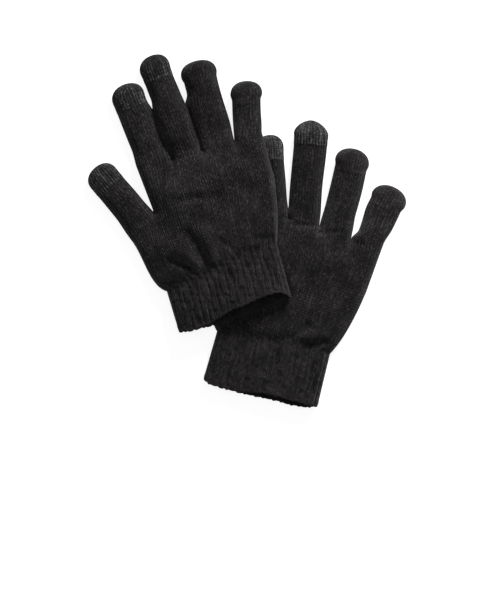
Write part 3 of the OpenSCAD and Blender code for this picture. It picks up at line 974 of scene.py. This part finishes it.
def tip_piece(name, skin, rows):
    first, last = rows.tip_row, rows.last_inner
    inner = coarse(first, last)
    cap = np.broadcast_to(skin.inner[last].mean(0), skin.inner[last].shape)
    inner_points = np.concatenate([skin.inner[inner], cap[None]])
    inner_stitch = np.concatenate([skin.stitch[inner], skin.stitch[last:last + 1]])
    shell = Shell()
    outer_rows, inner_rows = shell.tube(skin.outer[first:], inner_points, skin.stitch[first:], inner_stitch)
    shell.near_rim(outer_rows[0], inner_rows[0])
    return shell.make(name)


def hem_piece(name, glove):
    points, stitches = hem(glove)
    shell = Shell()
    rows = shell.add(points, stitches)
    shell.skin.append(quads(rows))
    shell.far_rim(rows[-1], rows[0])
    return shell.make(name)


def elastic_piece(name, glove):
    """Rounds of flat elastic yarn that lie inside the ribs."""
    start = hem_share(glove)
    shares = start + (1.0 - start) * np.arange(1, ELASTIC_ROUNDS + 1) / (ELASTIC_ROUNDS + 1)
    skin = cuff_rows(glove, shares, np.zeros(ELASTIC_ROUNDS), 0.0)
    depth = WALL + ELASTIC_GAP + ELASTIC_THICKNESS / 2
    along = np.append(ahead(glove), 0.0)
    angles = np.linspace(0.0, 2 * np.pi, ELASTIC_SIDES, endpoint=False)
    shell = Shell()
    for n in range(ELASTIC_ROUNDS):
        centre = (skin.points[n] - skin.normal[n] * depth)[::ELASTIC_STEP]
        normal = skin.normal[n, ::ELASTIC_STEP]
        section = [
            centre + normal * np.cos(t) * ELASTIC_THICKNESS / 2 + along * np.sin(t) * ELASTIC_WIDTH / 2
            for t in angles
        ]
        stitches = np.repeat(skin.stitch[n:n + 1, ::ELASTIC_STEP], ELASTIC_SIDES, 0)
        rows = shell.add(np.stack(section), stitches)
        shell.skin.append(quads(np.concatenate([rows, rows[:1]])))
    return shell.make(name)


# Materials: how the stitches lie on the rows of points, and how streaks, patches, flecks and nap run
STITCH_SHARE = 0.5
LEG_SLANT = 0.9
WALE_ROWS = 2.6
STREAK_STRETCH = 0.05
STREAK_SCALE = 0.8
PATCH_SCALE = 0.05
FLECK_POWER = 9.0
BAND_EVEN = 0.4
NAP_STRETCH = 0.6
NAP_SCALE = 0.5
NAP_HEIGHT = 0.4
FINE_DETAIL = 3.0
THREAD_SLANT = (0.4, 1.5)
THREAD_PLY, THREAD_UNEVEN = 0.4, 0.3
ELASTIC_WIND, ELASTIC_WIND_SHARE = 26.0, 0.3
ELASTIC_NAP_SCALE = 3.0

# Height and strength of each yarn's relief
KNIT_BUMP = (0.4 * MM, 0.9)
THREAD_BUMP = (0.4 * MM, 0.8)
ELASTIC_BUMP = (0.2 * MM, 0.6)

# Finish of each yarn
FINISHES = {
    "black_knit": (0.9, 0.1, 0.08, 0.4),
    "charcoal_touch_knit": (0.9, 0.1, 0.05, 0.4),
    "hem_thread": (0.88, 0.1, 0.1, 0.4),
    "elastic_yarn": (0.6, 0.3, 0.0, 0.5),
}
FINISH_SOCKETS = ("Roughness", "Specular IOR Level", "Sheen Weight", "Sheen Roughness")

# Share of each part of a yarn's tone, and its colours from dark to light. Streaks, patches, flecks and nap
# are unevenness in the yarn; the stitch and crest shares are painted shade between the stitch legs and in
# the grooves between wales, and in the touch knit the lighter crests are partly its grey yarn
BLACK_SHARES = {
    "base": -0.05, "stitch": 0.5, "crest": 0.26, "streak": 0.6,
    "patch": 0.8, "fleck": 0.6, "band": 0.3, "nap": 1.2,
}
TOUCH_SHARES = {
    "base": -0.26, "stitch": 0.4, "crest": 0.5, "streak": 0.9,
    "patch": 0.6, "fleck": 0.5, "band": 0.4, "nap": 1.0,
}
BLACK_TONES = (
    (0.0, (0.0034, 0.003, 0.0031)),
    (0.35, (0.0117, 0.0104, 0.0108)),
    (0.65, (0.0261, 0.0234, 0.0242)),
    (1.0, (0.064, 0.059, 0.06)),
)
TOUCH_TONES = (
    (0.0, (0.005, 0.0049, 0.005)),
    (0.35, (0.019, 0.0186, 0.0188)),
    (0.65, (0.066, 0.065, 0.065)),
    (1.0, (0.17, 0.168, 0.166)),
)
ELASTIC_TONES = ((0.0, (0.004, 0.004, 0.004)), (1.0, (0.014, 0.014, 0.014)))


class Nodes:
    """Builds a material's nodes from short calls."""

    def __init__(self, name):
        self.material = bpy.data.materials.new(name)
        self.material.use_nodes = True
        self.tree = self.material.node_tree
        self.shader = self.tree.nodes["Principled BSDF"]

    def link(self, value, socket):
        if isinstance(value, bpy.types.NodeSocket):
            self.tree.links.new(value, socket)
        else:
            socket.default_value = value

    def add(self, kind, **values):
        node = self.tree.nodes.new(f"ShaderNode{kind}")
        for name, value in values.items():
            self.link(value, node.inputs[name])
        return node

    def math(self, operation, *values):
        node = self.add("Math")
        node.operation = operation
        for value, socket in zip(values, node.inputs):
            self.link(value, socket)
        return node.outputs[0]

    def times(self, first, second):
        return self.math("MULTIPLY", first, second)

    def plus(self, value, share, start):
        """A share of a value, on top of a start."""
        return self.math("MULTIPLY_ADD", value, share, start)

    def arch(self, share):
        """Height of a thread at a share of the way across it."""
        return self.math("SINE", self.times(share, math.pi))

    def add_share(self, tone, noise, share):
        """The tone with a share of a noise that varies about its middle."""
        return self.plus(self.math("SUBTRACT", noise, 0.5), share, tone)

    def combine(self, x, y):
        return self.add("CombineXYZ", X=x, Y=y).outputs[0]

    def attribute(self, name, output):
        node = self.add("Attribute")
        node.attribute_name = name
        return node.outputs[output]

    def stitch(self):
        return self.add("SeparateXYZ", Vector=self.attribute("stitch", "Vector")).outputs

    def noise(self, vector, scale, detail=2.0):
        return self.add("TexNoise", Vector=vector, Scale=scale, Detail=detail).outputs["Fac"]

    def random(self, vector):
        return self.add("TexWhiteNoise", Vector=vector).outputs["Value"]

    def colour(self, tone, stops):
        node = self.add("ValToRGB", Fac=tone)
        elements = node.color_ramp.elements
        while len(elements) < len(stops):
            elements.new(0.5)
        for element, (place, colour) in zip(elements, stops):
            element.position = place
            element.color = (*colour, 1.0)
        self.link(node.outputs["Color"], self.shader.inputs["Base Color"])

    def bump(self, height, distance, strength):
        node = self.add("Bump", Strength=strength, Distance=distance, Height=height)
        self.link(node.outputs[0], self.shader.inputs["Normal"])

    def finish(self, values):
        for name, value in values.items():
            self.shader.inputs[name].default_value = value
        return self.material


def finished(n, name):
    """The material with the finish of its yarn."""
    return n.finish(dict(zip(FINISH_SOCKETS, FINISHES[name])))


def stitch_pattern(n):
    """Height of the two legs of yarn in each stitch, the wale's crest, and a number for each stitch."""
    wale, course, _ = n.stitch()
    side = n.times(n.math("ABSOLUTE", n.math("SUBTRACT", n.math("FRACT", wale), 0.5)), 2.0)
    phase = n.plus(course, STITCH_SHARE, n.times(side, LEG_SLANT))
    tooth = n.arch(n.math("FRACT", phase))
    crest = n.math("SUBTRACT", 1.0, n.times(side, side))
    number = n.combine(n.math("FLOOR", n.times(wale, 2.0)), n.math("FLOOR", phase))
    return n.times(tooth, n.arch(side)), crest, number


def knit_tone(n, height, crest, uneven, shares):
    """Tone of the knit from 0 to 1, with streaks along the wales, soft patches and lighter flecks."""
    wale, course, band = n.stitch()
    streak = n.noise(n.combine(wale, n.times(course, STREAK_STRETCH)), STREAK_SCALE)
    patch = n.noise(n.combine(n.times(wale, WALE_ROWS), course), PATCH_SCALE, FINE_DETAIL)
    fleck = n.times(n.math("POWER", uneven, FLECK_POWER), height)
    # Starts from the painted light and shade of the finger or tip
    tone = n.math("ADD", n.attribute("tone", "Fac"), shares["base"])
    # Painted shade between the stitch legs and in the grooves between wales, lighter on the stitch tops and
    # crests; in the touch knit the crests are partly its lighter grey yarn
    tone = n.plus(height, shares["stitch"], tone)
    tone = n.plus(crest, shares["crest"], tone)
    tone = n.add_share(tone, streak, shares["streak"])
    tone = n.add_share(tone, patch, shares["patch"])
    tone = n.plus(fleck, shares["fleck"], tone)
    glow = n.plus(uneven, 1.0 - BAND_EVEN, BAND_EVEN)
    lit = n.times(glow, n.times(band, height))
    return n.plus(lit, shares["band"], tone)


def knit_material(name, colours, shares):
    """Plain knit, uneven from stitch to stitch, with a soft nap."""
    n = Nodes(name)
    wale, course, _ = n.stitch()
    height, crest, number = stitch_pattern(n)
    tone = knit_tone(n, height, crest, n.random(number), shares)
    nap_place = n.combine(n.times(wale, WALE_ROWS), n.times(course, NAP_STRETCH))
    nap = n.noise(nap_place, NAP_SCALE, FINE_DETAIL)
    n.colour(n.add_share(tone, nap, shares["nap"]), colours)
    n.bump(n.plus(nap, NAP_HEIGHT, height), *KNIT_BUMP)
    return finished(n, name)


def thread_material(name, colours, shares):
    """Ribbed knit whose edge is bound with thread in slanting stitches."""
    n = Nodes(name)
    wale, course, thread = n.stitch()
    height, crest, number = stitch_pattern(n)
    shares = {**shares, "band": 0.0}
    knit = knit_tone(n, height, crest, n.random(number), shares)
    per_row, per_wale = THREAD_SLANT
    slant = n.plus(course, per_row, n.times(wale, per_wale))
    ply = n.arch(n.math("FRACT", slant))
    uneven = n.random(n.combine(n.math("FLOOR", slant), 0.0))
    bound = n.plus(ply, THREAD_PLY, n.times(uneven, THREAD_UNEVEN))
    tone = n.plus(n.math("SUBTRACT", bound, knit), thread, knit)
    n.colour(tone, colours)
    n.bump(tone, *THREAD_BUMP)
    return finished(n, name)


def elastic_material(name, colours):
    """Elastic core wound with fine yarn."""
    n = Nodes(name)
    wind = n.math("SINE", n.times(n.stitch()[0], ELASTIC_WIND))
    nap = n.noise(n.attribute("stitch", "Vector"), ELASTIC_NAP_SCALE)
    tone = n.plus(wind, ELASTIC_WIND_SHARE, nap)
    n.colour(tone, colours)
    n.bump(tone, *ELASTIC_BUMP)
    return finished(n, name)


MATERIALS = {
    "black_knit": knit_material("black_knit", BLACK_TONES, BLACK_SHARES),
    "charcoal_touch_knit": knit_material("charcoal_touch_knit", TOUCH_TONES, TOUCH_SHARES),
    "hem_thread": thread_material("hem_thread", BLACK_TONES, BLACK_SHARES),
    "elastic_yarn": elastic_material("elastic_yarn", ELASTIC_TONES),
}


# Pieces on their bodies
def dress(piece, slot, *nodes):
    """Puts a piece in the place of its nodes, in the material of a slot."""
    piece.data.materials.append(MATERIALS[slot])
    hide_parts(*nodes)


def blend_from(piece):
    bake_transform(piece)


def end_length(rows):
    """Length of the piece between a finger's bend and its tip."""
    return rows.place[rows.tip_row] - rows.place[rows.bend_row]


def make_finger(glove, finger):
    side = SIDES[glove]
    stem = f"{side}_{FINGERS[finger]}"
    rows = FingerRows(glove, finger)
    skin = finger_skin(glove, finger, rows)
    swings = glove == RIGHT and finger in SWING_FINGERS
    touch = finger in TOUCH_FINGERS
    tip_slot = "charcoal_touch_knit" if touch else "black_knit"
    tip_node = f"{stem}_touch_tip" if touch else f"{stem}_tip"
    finger_body = f"{stem}_finger"
    end_body = finger_body if swings else f"{stem}_fingertip"

    base = tube_piece(f"{stem}_base_knit", skin, 0, rows.bend_row)
    dress(base, "black_knit", f"{stem}_base")
    blend_from(base)

    end = tube_piece(f"{stem}_end_knit", skin, rows.bend_row, rows.tip_row)
    dress(end, "black_knit", f"{stem}_end")
    if swings:
        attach(end, finger_body)
    else:
        blend_from(end)

    if touch:
        # Painted light and shade of the touch tip
        skin.stitch[..., PAINTED_SHADING] = TIP_PAINTED_SHADING[finger][glove]
    tip = tip_piece(f"{tip_node}_knit", skin, rows)
    dress(tip, tip_slot, tip_node)
    if swings or end_length(rows) > BLEND_RUN:
        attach(tip, end_body)
    else:
        blend_from(tip)


def make_glove(glove):
    side = SIDES[glove]
    hand = hand_piece(f"{side}_hand_knit", glove)
    dress(hand, "black_knit", f"{side}_lower_palm", f"{side}_upper_palm")
    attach(hand, f"{side}_hand")

    skin = cuff(glove)
    ribs = tube_piece(f"{side}_cuff_ribs", skin, 0, len(skin.outer) - 1)
    dress(ribs, "black_knit", f"{side}_cuff_rib")
    blend_from(ribs)

    edge = hem_piece(f"{side}_cuff_hem_thread", glove)
    dress(edge, "hem_thread", f"{side}_cuff_hem")
    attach(edge, f"{side}_cuff")

    elastic = elastic_piece(f"{side}_cuff_elastic_yarn", glove)
    dress(elastic, "elastic_yarn", f"{side}_cuff_elastic")
    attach(elastic, f"{side}_cuff")

    for finger in range(len(FINGERS)):
        make_finger(glove, finger)


# Floor, lights and camera, in metres. The lens and the point below the camera are in millimetres.
# A light has a name, a place, a size and a power.
FLOOR_SIZE = 8.0
WHITE = (1.0, 1.0, 1.0, 1.0)
FLOOR_FINISH = {
    "Base Color": (0.4, 0.4, 0.4, 1.0), "Roughness": 0.9, "Specular IOR Level": 0.0,
    "Emission Color": WHITE, "Emission Strength": 0.84,
}
CAMERA_OVER = (-17.3, 74.1)
CAMERA_HEIGHT = 1.608
CAMERA_LENS = 120.0
LIGHTS = (("key", (0.56, 1.12, 0.6), 0.36, 32.5), ("fill", (0.1, 0.3, 1.9), 1.2, 3.5))
WORLD_STRENGTH = 0.3


def make_floor():
    half = FLOOR_SIZE / 2
    mesh = bpy.data.meshes.new("floor")
    corners = [(-half, -half, 0), (half, -half, 0), (half, half, 0), (-half, half, 0)]
    mesh.from_pydata(corners, [], [(0, 1, 2, 3)])
    mesh.materials.append(Nodes("pale_floor").finish(FLOOR_FINISH))
    floor = linked("floor", mesh)


def make_light(name, place, size, power):
    data = bpy.data.lights.new(name, "AREA")
    data.size = size
    data.energy = power
    light = linked(name, data)
    light.location = place
    light.rotation_mode = "QUATERNION"
    light.rotation_quaternion = (-Vector(place)).to_track_quat("-Z", "Y")


def make_stage():
    scene = bpy.context.scene
    scene.view_settings.view_transform = "Standard"
    scene.view_settings.look = "None"
    world = bpy.data.worlds.new("studio")
    world.use_nodes = True
    background = world.node_tree.nodes["Background"]
    background.inputs["Color"].default_value = WHITE
    background.inputs["Strength"].default_value = WORLD_STRENGTH
    scene.world = world
    make_floor()
    for light in LIGHTS:
        make_light(*light)
    camera_data = bpy.data.cameras.new("camera")
    camera_data.lens = CAMERA_LENS
    camera = linked("camera", camera_data)
    camera.location = (*((CAMERA_OVER - PAIR_CENTRE) * MM), CAMERA_HEIGHT)
    scene.camera = camera


make_stage()
make_glove(LEFT)
make_glove(RIGHT)
